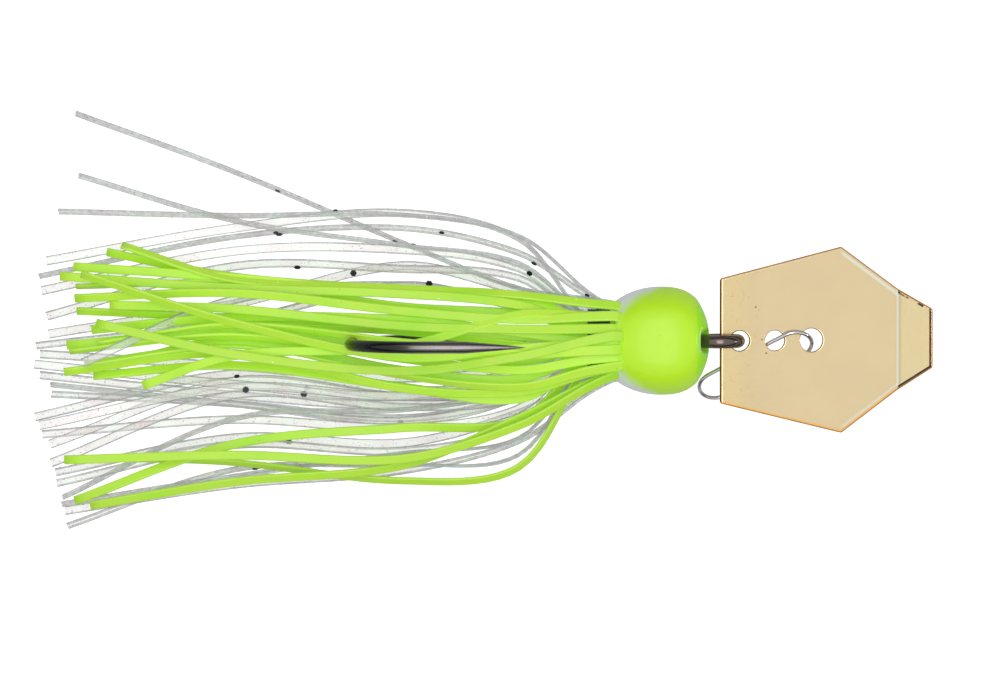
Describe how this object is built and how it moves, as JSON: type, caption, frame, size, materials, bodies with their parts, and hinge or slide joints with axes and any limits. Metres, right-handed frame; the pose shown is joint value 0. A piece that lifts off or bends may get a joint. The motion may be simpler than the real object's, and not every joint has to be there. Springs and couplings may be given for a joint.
{
  "type": "bladed jig lure",
  "caption": "Bladed skirted fishing jig: painted lead head on a jig hook, a hinged hexagonal vibrating blade on the eye, a wire snap line tie and a silicone skirt.",
  "frame": {"origin": "on the hook shank's axis at the rear face of the head's skirt stem, where a soft trailer's nose seats", "axes": "+X from the trailer seat to the blade, +Y to the lure's left side, +Z to the hook point; the lure lies belly down with -Z to the surface"},
  "size_m": [0.1071, 0.0456, 0.024],
  "materials": {
    "head_paint": "gloss enamel over lead, chartreuse on top fading to pearl white below",
    "hook_black_nickel": "black nickel plate",
    "blade_gold": "satin gold plate",
    "snap_nickel": "bright nickel plate",
    "collar_rubber": "matt rubber",
    "silicone_chartreuse": "soft gloss silicone, slightly translucent",
    "silicone_clear": "clear silicone with fine glitter and black flake"
  },
  "bodies": {
    "jig": {"head_casting": "head_paint", "hook": "hook_black_nickel", "skirt_collar": "collar_rubber", "chartreuse_strand_01": "silicone_chartreuse", "chartreuse_strand_02": "silicone_chartreuse", "chartreuse_strand_03": "silicone_chartreuse", "chartreuse_strand_04": "silicone_chartreuse", "chartreuse_strand_05": "silicone_chartreuse", "chartreuse_strand_06": "silicone_chartreuse", "chartreuse_strand_07": "silicone_chartreuse", "chartreuse_strand_08": "silicone_chartreuse", "chartreuse_strand_09": "silicone_chartreuse", "chartreuse_strand_10": "silicone_chartreuse", "chartreuse_strand_11": "silicone_chartreuse", "chartreuse_strand_12": "silicone_chartreuse", "clear_strand_01": "silicone_clear", "clear_strand_02": "silicone_clear", "clear_strand_03": "silicone_clear", "clear_strand_04": "silicone_clear", "clear_strand_05": "silicone_clear", "clear_strand_06": "silicone_clear", "clear_strand_07": "silicone_clear", "clear_strand_08": "silicone_clear", "clear_strand_09": "silicone_clear", "clear_strand_10": "silicone_clear", "clear_strand_11": "silicone_clear", "clear_strand_12": "silicone_clear", "clear_strand_13": "silicone_clear"},
    "blade": {"blade": "blade_gold"},
    "snap": {"snap": "snap_nickel"},
    "snap_arm": {"snap_arm": "snap_nickel"}
  },
  "joints": [
    {"name": "blade_pitch", "type": "hinge", "parent": "jig", "child": "blade", "pos_m": [0.0162, 0, 0], "axis": [0, -1, 0], "range_deg": [-6, 120]},
    {"name": "snap_swing", "type": "hinge", "parent": "blade", "child": "snap", "pos_m": [0.02279, 0, -0.00134], "axis": [0.9799, 0, -0.1994], "range_deg": [0, 96]},
    {"name": "snap_open", "type": "hinge", "parent": "snap", "child": "snap_arm", "pos_m": [0.01717, -0.00676, -0.00641], "axis": [0.4982, -0.5856, -0.6394], "range_deg": [0, 25], "stiffness_Nm_per_rad": 0.01}
  ]
}
